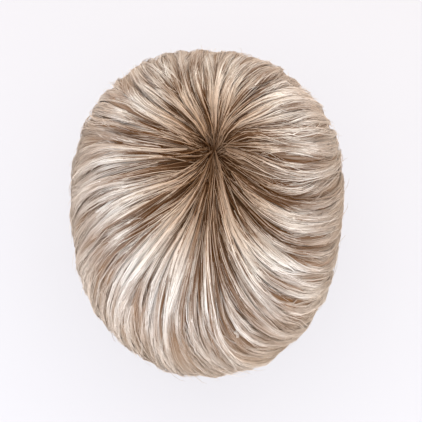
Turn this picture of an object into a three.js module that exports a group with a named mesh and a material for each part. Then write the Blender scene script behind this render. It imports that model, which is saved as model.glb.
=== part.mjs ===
// A short pixie-cut wig, seen as it keeps its form on a head: a stretch cap, and over it the hair in two
// tiers. The under tier hugs the sides and the nape. The top tier starts at one whorl on the crown and falls
// to every side, with the fringe swept to the wearer's left. Each tier is made of locks fused to a common
// backing.
//
// Units are millimetres. +Z is up, the face looks along -Y and the wearer's left is +X. The origin is where
// the top of the head meets the inside of the cap.
import * as THREE from "three";

// The head that the cap is sized for
const HEAD_HALF_WIDTH = 77;
const HEAD_HALF_LENGTH = 97;
const HEAD_RISE = 95; // from the widest level up to the top
const LOWER_RISE = 115; // how fast the head draws in below the widest level
const FRONT_POWER = 2.06; // outline of the front half, seen from above: 2 is an ellipse
const BACK_POWER = 2.35; // a little squarer
const RISE_POWER = 2.1; // the same for the upright section

// The cap
const CAP_WALL = 1.6;
const CAP_COLUMNS = 48;
const CAP_ROWS = 9;

// The hair
const HAIR_LOFT = 24.4; // depth of the hair over the head where it is fullest
const SEAT_GAP = 1.1; // between a piece and what it lies on
const SEAM_GAP = 0.6; // between neighbours side by side
const WHORL_RIGHT = 4; // the whorl's place, seen from above
const WHORL_BACK = 41;
const ROOT_ANGLE = 9; // degrees down the dome where the locks leave the whorl
const LOCKS_PER_SPAN = 2;
const FACES_PER_LOCK = 4;
const LOCK_ROWS = 12;
const RIDGE = 4.6; // height of a lock over the furrow beside it
const RIDGE_SWAY = 0.35; // how much the locks differ in relief, as a share of RIDGE
const LOCK_STAGGER = 1.4; // how much they differ in height
const TIP_NOTCH = 9; // how far a lock's point hangs below the notch beside it
const TIP_SWAY = 4; // how much the points differ in length
const TIP_WALL = 3.2; // thickness of the hair at its tips
const LEAST_WALL = 1.6;

// The under tier
const UNDER_DEPTH = 8;
const UNDER_TIP_LOFT = 4.5;
const UNDER_RIDGE = 2.2;
const UNDER_NOTCH = 10;
const UNDER_ROWS = 6;
const UNDER_START = 64; // degrees down the dome where its hair is rooted
const UNDER_RISE_FROM = 55; // the top tier lifts off the cap between these two
const UNDER_RISE_TO = 82;
const UNDER_SIDE_END = 36; // degrees that it reaches in front of the whorl's level, on both sides
const UNDER_SPARE = 4; // degrees past its ends that the top tier still clears
const UNDER_FADE = 24; // degrees in which the top tier comes back down to the cap from there

// Where the hair runs, one row for each parting between two spans of locks, in turn round the whorl. root,
// near, mid, rim and tip are the angles in degrees that the parting passes on its way down: 0 is the wearer's
// left and 90 the back. drop is how far its tips hang below the top of the head, as a share of HEAD_RISE.
// full is the hair's depth over the head at the widest level and tipLoft at the tips, both as shares of
// HAIR_LOFT. A lift below 0 is a dip between two groups of locks, as a share of RIDGE.
const PARTINGS = [
  { root: 30, near: 8, mid: -7, rim: -5, tip: 7, drop: 1.37, full: 1.02, tipLoft: 0.66, lift: -0.2 },
  { root: 52, near: 48, mid: 29, rim: 20, tip: 13, drop: 1.37, full: 1.01, tipLoft: 0.64, lift: 0.2 },
  { root: 60, near: 63, mid: 50, rim: 37, tip: 28, drop: 1.36, full: 0.96, tipLoft: 0.62, lift: 0 },
  { root: 68, near: 71, mid: 63, rim: 54, tip: 47, drop: 1.36, full: 0.91, tipLoft: 0.6, lift: -0.1 },
  { root: 76, near: 78, mid: 77, rim: 71, tip: 65, drop: 1.37, full: 0.89, tipLoft: 0.6, lift: 0.1 },
  { root: 86, near: 87, mid: 90, rim: 88, tip: 84, drop: 1.38, full: 0.93, tipLoft: 0.6, lift: 0 },
  { root: 95, near: 98, mid: 105, rim: 105, tip: 102, drop: 1.38, full: 0.96, tipLoft: 0.6, lift: -0.2 },
  { root: 106, near: 112, mid: 121, rim: 122, tip: 120, drop: 1.37, full: 0.92, tipLoft: 0.6, lift: 0.1 },
  { root: 120, near: 128, mid: 138, rim: 139, tip: 137, drop: 1.36, full: 0.94, tipLoft: 0.6, lift: -0.2 },
  { root: 137, near: 144, mid: 153, rim: 154, tip: 154, drop: 1.35, full: 0.95, tipLoft: 0.62, lift: 0.2 },
  { root: 165, near: 166, mid: 167, rim: 167, tip: 171, drop: 1.35, full: 1.01, tipLoft: 0.64, lift: -0.8 },
  { root: 186, near: 181, mid: 180, rim: 181, tip: 189, drop: 1.37, full: 0.99, tipLoft: 0.64, lift: 0.2 },
  { root: 203, near: 194, mid: 191, rim: 192, tip: 202, drop: 1.37, full: 0.95, tipLoft: 0.66, lift: 0 },
  { root: 224, near: 213, mid: 206, rim: 205, tip: 214, drop: 1.31, full: 0.99, tipLoft: 0.68, lift: -0.2 },
  { root: 238, near: 228, mid: 220, rim: 217, tip: 225, drop: 1.25, full: 0.98, tipLoft: 0.7, lift: 0.1 },
  { root: 247, near: 238, mid: 230, rim: 227, tip: 236, drop: 1.31, full: 1, tipLoft: 0.7, lift: -0.4 },
  { root: 252, near: 244, mid: 237, rim: 236, tip: 246, drop: 1.28, full: 0.95, tipLoft: 0.72, lift: 0.2 },
  { root: 256, near: 250, mid: 244, rim: 245, tip: 256, drop: 1.18, full: 0.95, tipLoft: 0.76, lift: -0.2 },
  { root: 260, near: 256, mid: 252, rim: 254, tip: 265, drop: 1.12, full: 0.96, tipLoft: 0.82, lift: 0.1 },
  { root: 263, near: 261, mid: 260, rim: 262, tip: 275, drop: 1.09, full: 0.97, tipLoft: 0.86, lift: -0.3 },
  { root: 267, near: 265, mid: 266, rim: 270, tip: 285, drop: 1.09, full: 0.95, tipLoft: 0.86, lift: 0.1 },
  { root: 270, near: 268, mid: 271, rim: 278, tip: 294, drop: 1.11, full: 0.94, tipLoft: 0.86, lift: -0.1 },
  { root: 274, near: 273, mid: 278, rim: 288, tip: 303, drop: 1.14, full: 0.96, tipLoft: 0.84, lift: -0.6 },
  { root: 279, near: 280, mid: 287, rim: 298, tip: 312, drop: 1.20, full: 0.89, tipLoft: 0.8, lift: 0.1 },
  { root: 286, near: 289, mid: 296, rim: 308, tip: 323, drop: 1.28, full: 0.87, tipLoft: 0.74, lift: 0.1 },
  { root: 294, near: 298, mid: 305, rim: 317, tip: 333, drop: 1.26, full: 0.91, tipLoft: 0.7, lift: -0.6 },
  { root: 304, near: 308, mid: 315, rim: 327, tip: 343, drop: 1.28, full: 0.93, tipLoft: 0.68, lift: 0.1 },
  { root: 318, near: 320, mid: 326, rim: 338, tip: 354, drop: 1.34, full: 1.01, tipLoft: 0.66, lift: -0.8 },
];
const TIP_DRIFT = 14; // degrees that every lock still turns below the rim

// Degrees down the dome at which a lock passes each angle of its row
const ROUTE_STATIONS = { root: 5, near: 14.5, mid: 30, rim: 53, tip: 88, end: 125 };

// How the hair's depth and the locks' relief change from root to tip, as shares of HAIR_LOFT and RIDGE
const LOFT_ALONG = [
  { along: 0, loft: 0.42, relief: 0.35 },
  { along: 0.12, loft: 0.7, relief: 0.7 },
  { along: 0.3, loft: 0.94, relief: 1 },
  { along: 0.5, loft: 1, relief: 0.9 },
  { along: 0.66, loft: 1, relief: 0.35 },
  { along: 1, loft: 1, relief: 0.3 },
];
const FULL_FROM = 0.35; // shares of a lock's length between which its depth goes over to its parting's own
const FULL_AT = 0.75;
const TAPER_FROM = 0.86; // share of its length where a lock starts to thin towards its tip

// The lower edges of the cap and of the under tier: angle round the whorl, and how far they hang below the
// top of the head, as a share of HEAD_RISE
const CAP_EDGE = [
  { angle: -90, drop: 0.63 },
  { angle: -47, drop: 0.78 },
  { angle: -35, drop: 1.03 },
  { angle: -22, drop: 0.88 },
  { angle: 0, drop: 1.18 },
  { angle: 27, drop: 1.37 },
  { angle: 90, drop: 1.47 },
  { angle: 153, drop: 1.37 },
  { angle: 180, drop: 1.18 },
  { angle: 202, drop: 0.88 },
  { angle: 215, drop: 1.03 },
  { angle: 227, drop: 0.78 },
  { angle: 270, drop: 0.63 },
];
const UNDER_EDGE = [
  { angle: -36, drop: 1.35 },
  { angle: -20, drop: 1.43 },
  { angle: 0, drop: 1.60 },
  { angle: 27, drop: 1.75 },
  { angle: 90, drop: 1.81 },
  { angle: 153, drop: 1.75 },
  { angle: 180, drop: 1.60 },
  { angle: 200, drop: 1.43 },
  { angle: 216, drop: 1.35 },
];

// The top tier's nodes, each from one parting to another
const TOP_PIECES = [
  { name: "side_left_locks", from: 0, to: 3 },
  { name: "back_left_locks", from: 3, to: 6 },
  { name: "back_right_locks", from: 6, to: 9 },
  { name: "side_right_locks", from: 9, to: 12 },
  { name: "temple_right_locks", from: 12, to: 16 },
  { name: "fringe_right_locks", from: 16, to: 20 },
  { name: "fringe_left_locks", from: 20, to: 24 },
  { name: "temple_left_locks", from: 24, to: 28 },
];

// The under tier's nodes, by angle round the whorl
const UNDER_PIECES = [
  { name: "under_left_locks", from: -UNDER_SIDE_END, to: 36, locks: 7 },
  { name: "nape_locks", from: 36, to: 144, locks: 9 },
  { name: "under_right_locks", from: 144, to: 180 + UNDER_SIDE_END, locks: 7 },
];

const COLOURS = { hair: 0xc9b39c, root: 0x7d6250, under: 0xb39c86, cap: 0x8a7464 };

const radians = THREE.MathUtils.degToRad;
const degrees = THREE.MathUtils.radToDeg;
const { lerp, smoothstep, clamp } = THREE.MathUtils;

// A column of a table at x, straight between its rows
function readTable(rows, key, x, column) {
  const last = rows.length - 1;
  let i = 0;
  while (i < last - 1 && x > rows[i + 1][key]) i++;
  const share = clamp((x - rows[i][key]) / (rows[i + 1][key] - rows[i][key]), 0, 1);
  return lerp(rows[i][column], rows[i + 1][column], share);
}

// A parting table's column at place p, where p counts partings and runs on past a full turn
function readParting(p, column, turn = 0) {
  const count = PARTINGS.length;
  const i = Math.floor(p);
  const value = (k) => PARTINGS[((k % count) + count) % count][column] + turn * Math.floor(k / count);
  return lerp(value(i), value(i + 1), p - i);
}

// How far out a point lies on the way from the dome's middle (0) to its rim (1), seen from above
function rimShare(x, y, halfWidth, halfLength) {
  const power = y > 0 ? BACK_POWER : FRONT_POWER;
  const sum = Math.pow(Math.abs(x / halfWidth), power) + Math.pow(Math.abs(y / halfLength), power);
  return Math.pow(sum, 1 / power);
}

// Where the ray that leaves the whorl at an angle meets the rim of a dome with these half sizes
function rimPoint(angle, halfWidth, halfLength) {
  const dx = Math.cos(radians(angle));
  const dy = Math.sin(radians(angle));
  let inside = 0;
  let outside = 2 * (halfWidth + halfLength);
  for (let step = 0; step < 40; step++) {
    const middle = (inside + outside) / 2;
    const within = rimShare(WHORL_RIGHT + dx * middle, WHORL_BACK + dy * middle, halfWidth, halfLength) < 1;
    if (within) inside = middle;
    else outside = middle;
  }
  return { x: WHORL_RIGHT + dx * inside, y: WHORL_BACK + dy * inside };
}

// The point `down` degrees along the line that leaves the whorl at `angle`, `offset` over the head.
// 0 is the whorl and 90 the widest level. Below it the dome draws in again.
function domePoint(angle, down, offset) {
  const halfWidth = HEAD_HALF_WIDTH + offset;
  const halfLength = HEAD_HALF_LENGTH + offset;
  const rim = rimPoint(angle, halfWidth, halfLength);
  if (down <= 90) {
    const share = Math.sin(radians(down));
    const x = lerp(WHORL_RIGHT, rim.x, share);
    const y = lerp(WHORL_BACK, rim.y, share);
    const out = Math.min(1, rimShare(x, y, halfWidth, halfLength));
    const height = Math.pow(1 - Math.pow(out, RISE_POWER), 1 / RISE_POWER);
    return new THREE.Vector3(x, y, -HEAD_RISE + (HEAD_RISE + offset) * height);
  }
  const sunk = Math.sin(radians(down - 90));
  const drawnIn = Math.sqrt(1 - sunk * sunk);
  return new THREE.Vector3(rim.x * drawnIn, rim.y * drawnIn, -HEAD_RISE - LOWER_RISE * sunk);
}

// The angle down the dome at which a surface hangs `drop` below the top of the head
function downAtDrop(drop, angle) {
  if (drop >= HEAD_RISE) return 90 + degrees(Math.asin(Math.min(0.95, (drop - HEAD_RISE) / LOWER_RISE)));
  let high = 0;
  let low = 90;
  for (let step = 0; step < 30; step++) {
    const middle = (high + low) / 2;
    if (domePoint(angle, middle, 0).z > -drop) high = middle;
    else low = middle;
  }
  return high;
}

// The angle round the whorl of parting place p, `down` degrees along the dome: a smooth curve through its row
function routeAngle(p, down) {
  const tip = readParting(p, "tip", 360);
  const stations = Object.values(ROUTE_STATIONS);
  const angles = ["root", "near", "mid", "rim"].map((column) => readParting(p, column, 360));
  angles.push(tip, tip + TIP_DRIFT);
  const x = clamp(down, stations[0], stations[stations.length - 1]);
  let i = 0;
  while (i < stations.length - 2 && x > stations[i + 1]) i++;
  const slope = (k) => {
    const a = Math.max(0, k - 1);
    const b = Math.min(stations.length - 1, k + 1);
    return (angles[b] - angles[a]) / (stations[b] - stations[a]);
  };
  const span = stations[i + 1] - stations[i];
  const t = (x - stations[i]) / span;
  const t2 = t * t;
  const t3 = t2 * t;
  return (
    (2 * t3 - 3 * t2 + 1) * angles[i] +
    (t3 - 2 * t2 + t) * span * slope(i) +
    (3 * t2 - 2 * t3) * angles[i + 1] +
    (t3 - t2) * span * slope(i + 1)
  );
}

// A steady irregularity between -1 and 1, the same all along one lock
const lockSway = (lock, pace) => Math.sin(lock * pace);
const RELIEF_PACE = 1.7;
const HEIGHT_PACE = 2.4;
const LENGTH_PACE = 2.9;

// 0 in the furrow between two locks and 1 on a lock's back
const lockBack = (place) => Math.pow(Math.sin(Math.PI * (place - Math.floor(place))), 0.8);

// How much room the under tier takes under the top tier
function underRoom(angle, down) {
  const beside = ((angle + 90 + 720) % 360) - 180; // 0 at the back, 180 and -180 at the face
  const reach = 90 + UNDER_SIDE_END + UNDER_SPARE;
  const fade = 1 - smoothstep(Math.abs(beside), reach, reach + UNDER_FADE);
  return fade * (UNDER_DEPTH + SEAT_GAP) * smoothstep(down, UNDER_RISE_FROM, UNDER_RISE_TO);
}

const seatOffset = CAP_WALL + SEAT_GAP;

// The top tier's inside at parting place p, a share `along` from root to tip
function topInside(p, along, angle, down) {
  const onCap = seatOffset + underRoom(angle, down);
  const atTip = Math.max(onCap, HAIR_LOFT * readParting(p, "tipLoft") - TIP_WALL);
  return lerp(onCap, atTip, smoothstep(along, TAPER_FROM, 1));
}

// The top tier's outside at the same place
function topOutside(p, along, angle, down) {
  const lockPlace = p * LOCKS_PER_SPAN;
  const lock = Math.floor(lockPlace);
  const back = lockBack(lockPlace);
  const full = lerp(1, readParting(p, "full"), smoothstep(along, FULL_FROM, FULL_AT));
  const share = readTable(LOFT_ALONG, "along", along, "loft") * full;
  const reliefShare = readTable(LOFT_ALONG, "along", along, "relief");
  const taper = lerp(1, readParting(p, "tipLoft") / full, smoothstep(along, TAPER_FROM, 1));
  const stagger = LOCK_STAGGER * (lockSway(lock, HEIGHT_PACE) * back - 1) * reliefShare;
  const dip = RIDGE * Math.min(0, readParting(p, "lift")) * reliefShare;
  const furrow = RIDGE * (1 + RIDGE_SWAY * lockSway(lock, RELIEF_PACE)) * reliefShare * (1 - back);
  const outside = HAIR_LOFT * share * taper + stagger + dip - furrow;
  return Math.max(outside, topInside(p, along, angle, down) + LEAST_WALL);
}

// The angle down the dome where the hair at parting place p ends, pointed at each lock's back
function topEnd(p) {
  const lockPlace = p * LOCKS_PER_SPAN;
  const back = lockBack(lockPlace);
  const sway = TIP_SWAY * lockSway(Math.floor(lockPlace), LENGTH_PACE) * back;
  const drop = HEAD_RISE * readParting(p, "drop") + sway - TIP_NOTCH * (1 - back);
  return downAtDrop(drop, readParting(p, "tip", 360));
}

// A closed wall between an outer and an inner grid of points, each a list of columns from root to tip. The
// outer grid has `faces` columns for each one of the inner grid.
function wallGeometry(outer, inner, faces) {
  const points = [...outer.flat(), ...inner.flat()];
  const rows = outer[0].length;
  const outerAt = (column, row) => column * rows + row;
  const innerAt = (column, row) => outer.length * rows + column * rows + row;
  const triangles = [];
  const quad = (a, b, c, d) => triangles.push(a, b, c, a, c, d);
  for (let row = 0; row < rows - 1; row++) {
    for (let column = 0; column < outer.length - 1; column++) {
      const next = column + 1;
      quad(outerAt(column, row), outerAt(column, row + 1), outerAt(next, row + 1), outerAt(next, row));
    }
    for (let column = 0; column < inner.length - 1; column++) {
      const next = column + 1;
      quad(innerAt(column, row), innerAt(next, row), innerAt(next, row + 1), innerAt(column, row + 1));
    }
    const lastOut = outer.length - 1;
    const lastIn = inner.length - 1;
    quad(outerAt(0, row), innerAt(0, row), innerAt(0, row + 1), outerAt(0, row + 1));
    quad(outerAt(lastOut, row), outerAt(lastOut, row + 1), innerAt(lastIn, row + 1), innerAt(lastIn, row));
  }
  const half = Math.floor(faces / 2);
  for (let column = 0; column < inner.length - 1; column++) {
    for (const row of [0, rows - 1]) {
      const edge = [];
      for (let k = 0; k < faces; k++) {
        const corner = innerAt(k < half ? column : column + 1, row);
        edge.push([outerAt(column * faces + k, row), corner, outerAt(column * faces + k + 1, row)]);
      }
      edge.push([outerAt(column * faces + half, row), innerAt(column, row), innerAt(column + 1, row)]);
      for (const [a, b, c] of edge) triangles.push(...(row === 0 ? [a, c, b] : [a, b, c]));
    }
  }
  return closedGeometry(points, triangles);
}

// A closed dome shell between two grids of columns that run from a shared pole down to the edge, all round
function shellGeometry(outer, inner) {
  const columns = outer.length;
  const rows = outer[0].length;
  const points = [...outer.flat(), ...inner.flat(), poleOf(outer), poleOf(inner)];
  const outerAt = (column, row) => (column % columns) * rows + row;
  const innerAt = (column, row) => (columns + (column % columns)) * rows + row;
  const outerPole = 2 * columns * rows;
  const triangles = [];
  const quad = (a, b, c, d) => triangles.push(a, b, c, a, c, d);
  for (let column = 0; column < columns; column++) {
    const next = column + 1;
    triangles.push(outerPole, outerAt(column, 0), outerAt(next, 0));
    triangles.push(outerPole + 1, innerAt(next, 0), innerAt(column, 0));
    for (let row = 0; row < rows - 1; row++) {
      quad(outerAt(column, row), outerAt(column, row + 1), outerAt(next, row + 1), outerAt(next, row));
      quad(innerAt(column, row), innerAt(next, row), innerAt(next, row + 1), innerAt(column, row + 1));
    }
    const edge = rows - 1;
    quad(outerAt(column, edge), innerAt(column, edge), innerAt(next, edge), outerAt(next, edge));
  }
  return closedGeometry(points, triangles);
}

// The mean of a grid's first points, raised to the height of the highest
function poleOf(grid) {
  const pole = new THREE.Vector3();
  for (const column of grid) pole.addScaledVector(column[0], 1 / grid.length);
  return pole;
}

function closedGeometry(points, triangles) {
  const geometry = new THREE.BufferGeometry().setFromPoints(points);
  geometry.setIndex(triangles);
  geometry.computeVertexNormals();
  return geometry;
}

// The turn round the whorl that moves a line sideways by half the seam between two pieces
function seamTurn(angle, down, offset) {
  const here = domePoint(angle, down, offset);
  const beside = domePoint(angle + 1, down, offset);
  return SEAM_GAP / 2 / here.distanceTo(beside);
}

// A column of the top tier at parting place p. side is 1 or -1 at a piece's two ends, where it draws back
// from its neighbour, and 0 between them.
function topColumn(p, side, offsetAt) {
  const end = topEnd(p);
  const column = [];
  for (let row = 0; row <= LOCK_ROWS; row++) {
    const along = row / LOCK_ROWS;
    const down = lerp(ROOT_ANGLE, end, along);
    const angle = routeAngle(p, down);
    const offset = offsetAt(p, along, angle, down);
    column.push(domePoint(angle + side * seamTurn(angle, down, offset), down, offset));
  }
  return column;
}

function topPiece({ from, to }) {
  const locks = (to - from) * LOCKS_PER_SPAN;
  const outer = [];
  const inner = [];
  for (let k = 0; k <= locks; k++) {
    const side = k === 0 ? 1 : k === locks ? -1 : 0;
    const furrow = from + k / LOCKS_PER_SPAN;
    inner.push(topColumn(furrow, side, topInside));
    outer.push(topColumn(furrow, side, topOutside));
    for (let face = 1; face < FACES_PER_LOCK && k < locks; face++) {
      outer.push(topColumn(furrow + face / FACES_PER_LOCK / LOCKS_PER_SPAN, 0, topOutside));
    }
  }
  return wallGeometry(outer, inner, FACES_PER_LOCK);
}

// The under tier: straight locks from its root line down to its edge
function underPiece({ from, to, locks }) {
  const columnAt = (place, side, offsetAt) => {
    const angle = lerp(from, to, place / locks);
    const back = lockBack(place);
    const drop = HEAD_RISE * readTable(UNDER_EDGE, "angle", angle, "drop") - UNDER_NOTCH * (1 - back);
    const end = downAtDrop(drop, angle);
    const column = [];
    for (let row = 0; row <= UNDER_ROWS; row++) {
      const along = row / UNDER_ROWS;
      const down = lerp(UNDER_START, end, along);
      const offset = offsetAt(along, down, back);
      column.push(domePoint(angle + side * seamTurn(angle, down, offset), down, offset));
    }
    return column;
  };
  const inside = (along) => lerp(seatOffset, UNDER_TIP_LOFT - LEAST_WALL, smoothstep(along, 0.7, 1));
  const outside = (along, down, back) => {
    const full = seatOffset + UNDER_DEPTH * smoothstep(down, UNDER_RISE_FROM, UNDER_RISE_TO);
    const thinned = lerp(full, UNDER_TIP_LOFT, smoothstep(along, 0.45, 1));
    const furrow = UNDER_RIDGE * smoothstep(along, 0.1, 0.5) * (1 - back);
    return Math.max(thinned - furrow, inside(along) + LEAST_WALL);
  };
  const outer = [];
  const inner = [];
  for (let k = 0; k <= locks; k++) {
    const side = k === 0 ? 1 : k === locks ? -1 : 0;
    inner.push(columnAt(k, side, inside));
    outer.push(columnAt(k, side, outside));
    for (let face = 1; face < FACES_PER_LOCK && k < locks; face++) {
      outer.push(columnAt(k + face / FACES_PER_LOCK, 0, outside));
    }
  }
  return wallGeometry(outer, inner, FACES_PER_LOCK);
}

// The rosette of roots in the middle of the whorl, inside the ring where the locks begin
function whorlPiece() {
  const spans = PARTINGS.length * LOCKS_PER_SPAN;
  const rings = [0.4, 0.72, 1];
  const edge = ROOT_ANGLE - degrees(SEAM_GAP / HEAD_HALF_WIDTH);
  const grid = (offsetAt) => {
    const columns = [];
    for (let k = 0; k < spans; k++) {
      const p = k / LOCKS_PER_SPAN;
      columns.push(
        rings.map((ring) => {
          const down = edge * ring;
          return domePoint(routeAngle(p, ROOT_ANGLE), down, offsetAt(k % 2, ring));
        }),
      );
    }
    return columns;
  };
  const relief = RIDGE * LOFT_ALONG[0].relief;
  const full = HAIR_LOFT * LOFT_ALONG[0].loft - LOCK_STAGGER;
  const outside = (onBack, ring) => full - relief * (1 - onBack) * ring - relief * (1 - ring);
  return shellGeometry(grid(outside), grid(() => seatOffset));
}

function capPiece() {
  const grid = (offset) => {
    const columns = [];
    for (let k = 0; k < CAP_COLUMNS; k++) {
      const angle = -90 + (360 * k) / CAP_COLUMNS;
      const end = downAtDrop(HEAD_RISE * readTable(CAP_EDGE, "angle", angle, "drop"), angle);
      const column = [];
      for (let row = 1; row <= CAP_ROWS; row++) column.push(domePoint(angle, (end * row) / CAP_ROWS, offset));
      columns.push(column);
    }
    return columns;
  };
  return shellGeometry(grid(CAP_WALL), grid(0));
}

const hairMaterial = (color) => new THREE.MeshStandardMaterial({ color, roughness: 0.45, metalness: 0 });
const capMaterial = new THREE.MeshStandardMaterial({ color: COLOURS.cap, roughness: 0.9, metalness: 0 });

const wig = new THREE.Group();

function addPiece(name, geometry, material) {
  const mesh = new THREE.Mesh(geometry, material);
  mesh.name = name;
  wig.add(mesh);
}

addPiece("wig_cap", capPiece(), capMaterial);
addPiece("crown_whorl", whorlPiece(), hairMaterial(COLOURS.root));
for (const piece of TOP_PIECES) addPiece(piece.name, topPiece(piece), hairMaterial(COLOURS.hair));
for (const piece of UNDER_PIECES) addPiece(piece.name, underPiece(piece), hairMaterial(COLOURS.under));

export default wig;
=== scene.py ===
# %% [markdown]
# # A pixie wig
# A short wig is a stretch cap with hair sewn to it. This one has dark roots round one whorl on the crown, and
# ash-blond hair that falls from there to every side, with the fringe swept to the wearer's left. The packed CAD
# model already holds its form as solids. Here each solid gives way to what hair really is: a soft mass of locks
# with some fourteen thousand strands over it.
#
# The packed frame comes first. Its box is the size that the finished wig has to keep.

import bpy
import numpy as np
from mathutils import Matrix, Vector


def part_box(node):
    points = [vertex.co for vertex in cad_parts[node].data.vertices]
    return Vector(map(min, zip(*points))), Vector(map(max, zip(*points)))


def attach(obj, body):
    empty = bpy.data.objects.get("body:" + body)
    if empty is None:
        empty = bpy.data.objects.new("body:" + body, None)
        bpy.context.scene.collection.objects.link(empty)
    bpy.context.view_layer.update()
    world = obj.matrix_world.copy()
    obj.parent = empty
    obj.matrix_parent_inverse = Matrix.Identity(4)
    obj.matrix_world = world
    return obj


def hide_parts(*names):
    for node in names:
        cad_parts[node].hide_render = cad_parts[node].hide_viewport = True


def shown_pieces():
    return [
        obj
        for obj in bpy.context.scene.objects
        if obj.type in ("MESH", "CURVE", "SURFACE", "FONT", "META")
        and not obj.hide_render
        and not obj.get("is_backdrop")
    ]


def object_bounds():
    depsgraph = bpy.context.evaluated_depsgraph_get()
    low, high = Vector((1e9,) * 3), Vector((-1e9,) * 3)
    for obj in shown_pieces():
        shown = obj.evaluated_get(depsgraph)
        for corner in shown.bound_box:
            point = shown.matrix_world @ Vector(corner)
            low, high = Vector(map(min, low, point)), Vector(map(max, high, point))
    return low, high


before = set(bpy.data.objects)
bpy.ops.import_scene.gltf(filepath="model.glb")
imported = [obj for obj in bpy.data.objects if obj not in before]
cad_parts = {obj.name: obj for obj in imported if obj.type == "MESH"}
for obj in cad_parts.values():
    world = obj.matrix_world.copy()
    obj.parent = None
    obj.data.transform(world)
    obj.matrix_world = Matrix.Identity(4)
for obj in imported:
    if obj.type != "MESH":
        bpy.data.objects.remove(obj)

cad_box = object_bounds()
print("nodes:", len(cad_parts), "box:", [[round(v, 4) for v in corner] for corner in cad_box])

# %% [markdown]
# ## The sizes
# A wig is shaped by the head that it is made for, so the head's sizes drive everything. The width is read off
# the cap in the frame. The hair stands off the head by its loft. Angles go round the whorl, from 0 at the
# wearer's left over 90 at the back, and down the dome from 0 at the whorl to 90 at the widest level.

# %% Sizes of the head and the cap
MM = 0.001
CAP_WALL = 1.6 * MM
cap_low, cap_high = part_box("wig_cap")
HEAD_HALF_WIDTH = (cap_high.x - cap_low.x) / 2 - CAP_WALL
HEAD_HALF_LENGTH = 97 * MM
HEAD_RISE = 95 * MM  # from the widest level to the crown
LOWER_RISE = 115 * MM  # from the widest level to where the dome would close below
FRONT_POWER, BACK_POWER, RISE_POWER = 2.06, 2.35, 2.1  # 2 gives an ellipse, and more is squarer
WHORL = np.array([4 * MM, 41 * MM])
print("head, mm:", round(HEAD_HALF_WIDTH / MM, 1), round(HEAD_HALF_LENGTH / MM, 1))

# %% Sizes of the hair
HAIR_LOFT = 24.4 * MM
SEAT_GAP = 1.1 * MM
SEAT = CAP_WALL + SEAT_GAP
ROOT_ANGLE = 9.0
LOCKS_PER_SPAN = 2
RIDGE = 4.6 * MM
RIDGE_SWAY = 0.35
LOCK_STAGGER = 1.4 * MM
TIP_NOTCH = 9 * MM
TIP_SWAY = 4 * MM
TIP_WALL = 3.2 * MM
TAPER_FROM = 0.86
LEAST_WALL = 1.6 * MM

# The under tier
UNDER_DEPTH = 8 * MM
UNDER_TIP_LOFT = 4.5 * MM
UNDER_RIDGE = 2.2 * MM
UNDER_NOTCH = 10 * MM
UNDER_START = 64.0
UNDER_RISE_FROM, UNDER_RISE_TO = 55.0, 82.0
UNDER_SIDE_END = 36.0
UNDER_SPARE, UNDER_FADE = 4.0, 24.0
print("hair stands off the head, mm:", round(HAIR_LOFT / MM, 1), "under tier:", round(UNDER_DEPTH / MM, 1))

# %% [markdown]
# ## Where the hair runs
# In the photo the strands leave the whorl, fan out and turn as they fall. The quickest way to say so is a table
# with a row for each parting between two spans of hair, and in it the angle round the whorl at five places on
# the way down. Everything else follows: a lock lies between two partings, and a strand lies in a lock. The last
# columns say how far the tips hang, how deep they lie, and where the hair dips into a gap between two groups,
# which also paints the hair in a dip darker, as shade, and the groups with a lift above 0 paler.

# %% The partings
PARTING_COLUMNS = ("root", "near", "mid", "rim", "tip", "drop", "full", "tip_loft", "lift")
PARTING_ROWS = (
    (30, 8, -7, -5, 7, 1.37, 1.02, 0.66, -0.2),
    (52, 48, 29, 20, 13, 1.37, 1.01, 0.64, 0.2),
    (60, 63, 50, 37, 28, 1.36, 0.96, 0.62, 0),
    (68, 71, 63, 54, 47, 1.36, 0.91, 0.6, -0.1),
    (76, 78, 77, 71, 65, 1.37, 0.89, 0.6, 0.1),
    (86, 87, 90, 88, 84, 1.38, 0.93, 0.6, 0),
    (95, 98, 105, 105, 102, 1.38, 0.96, 0.6, -0.2),
    (106, 112, 121, 122, 120, 1.37, 0.92, 0.6, 0.1),
    (120, 128, 138, 139, 137, 1.36, 0.94, 0.6, -0.2),
    (137, 144, 153, 154, 154, 1.35, 0.95, 0.62, 0.2),
    (165, 166, 167, 167, 171, 1.35, 1.01, 0.64, -0.8),
    (186, 181, 180, 181, 189, 1.37, 0.99, 0.64, 0.2),
    (203, 194, 191, 192, 202, 1.37, 0.95, 0.66, 0),
    (224, 213, 206, 205, 214, 1.31, 0.99, 0.68, -0.2),
    (238, 228, 220, 217, 225, 1.25, 0.98, 0.7, 0.1),
    (247, 238, 230, 227, 236, 1.31, 1, 0.7, -0.4),
    (252, 244, 237, 236, 246, 1.28, 0.95, 0.72, 0.2),
    (256, 250, 244, 245, 256, 1.18, 0.95, 0.76, -0.2),
    (260, 256, 252, 254, 265, 1.12, 0.96, 0.82, 0.1),
    (263, 261, 260, 262, 275, 1.09, 0.97, 0.86, -0.3),
    (267, 265, 266, 270, 285, 1.09, 0.95, 0.86, 0.1),
    (270, 268, 271, 278, 294, 1.11, 0.94, 0.86, -0.1),
    (274, 273, 278, 288, 303, 1.14, 0.96, 0.84, -0.6),
    (279, 280, 287, 298, 312, 1.20, 0.89, 0.8, 0.1),
    (286, 289, 296, 308, 323, 1.28, 0.87, 0.74, 0.1),
    (294, 298, 305, 317, 333, 1.26, 0.91, 0.7, -0.6),
    (304, 308, 315, 327, 343, 1.28, 0.93, 0.68, 0.1),
    (318, 320, 326, 338, 354, 1.34, 1.01, 0.66, -0.8),
)
PARTINGS = dict(zip(PARTING_COLUMNS, np.array(PARTING_ROWS, float).T))
PARTING_COUNT = len(PARTING_ROWS)
STATION_COLUMNS = ("root", "near", "mid", "rim", "tip")
STATIONS = np.array([5, 14.5, 30, 53, 88, 125], float)
TIP_DRIFT = 14.0
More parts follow.
